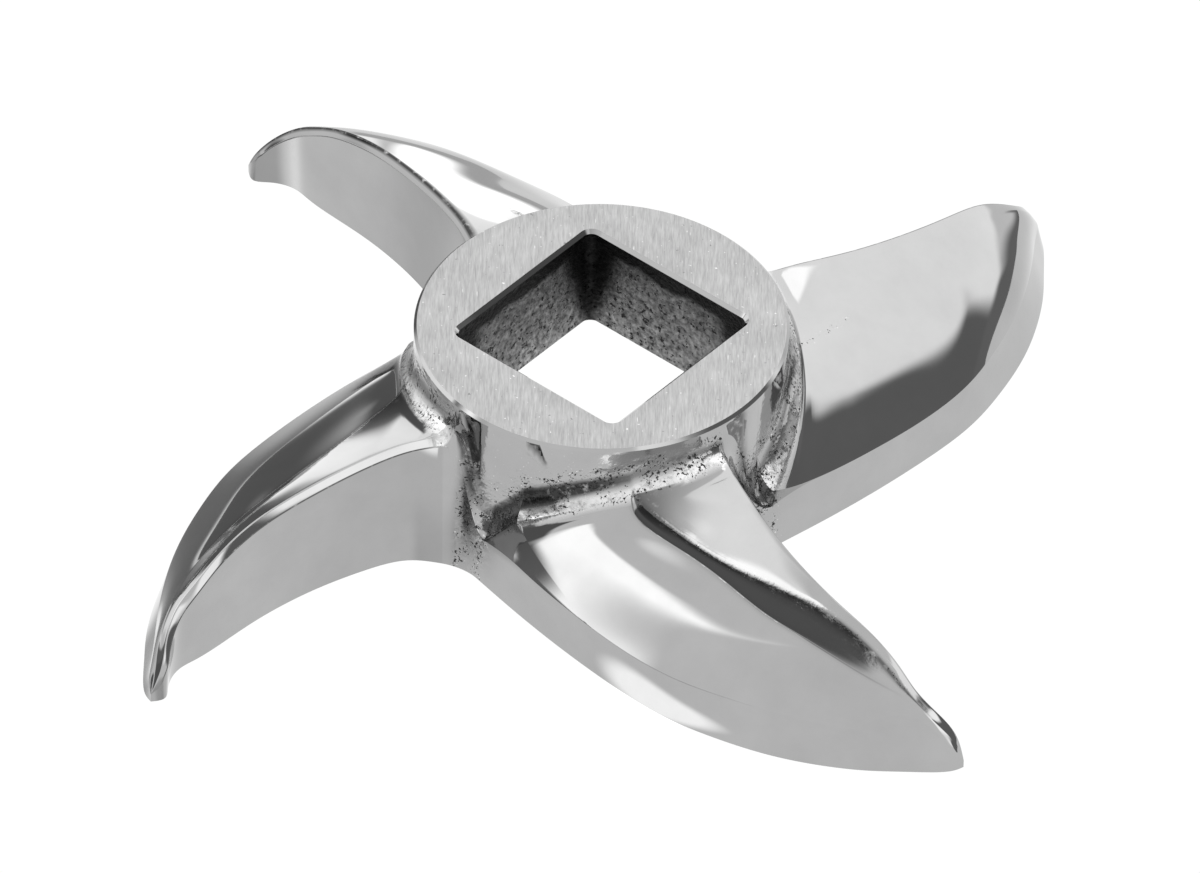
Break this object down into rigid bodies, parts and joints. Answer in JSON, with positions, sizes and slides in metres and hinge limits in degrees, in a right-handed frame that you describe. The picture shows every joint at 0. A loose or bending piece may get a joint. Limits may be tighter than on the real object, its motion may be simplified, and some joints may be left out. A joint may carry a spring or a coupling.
{
  "type": "meat grinder knife",
  "caption": "Swept-blade mincer knife: a round ground hub with a square drive hole and curved, sickle-shaped blades that rise to a crest behind an upright cutting wall.",
  "frame": {"origin": "on the hub's axis, in the plane of the cutting edges, which is the surface the knife lies on", "axes": "+Z along the hub's axis, from the cutting face to the hub's ground top face; X and Y are square to the flats of the drive hole"},
  "size_m": [0.0958, 0.0958, 0.0158],
  "materials": {
    "cast_stainless": "bright tumbled casting, ground hub face, rough cast drive hole"
  },
  "bodies": {
    "root": {"grinder_knife": "cast_stainless"}
  },
  "joints": []
}
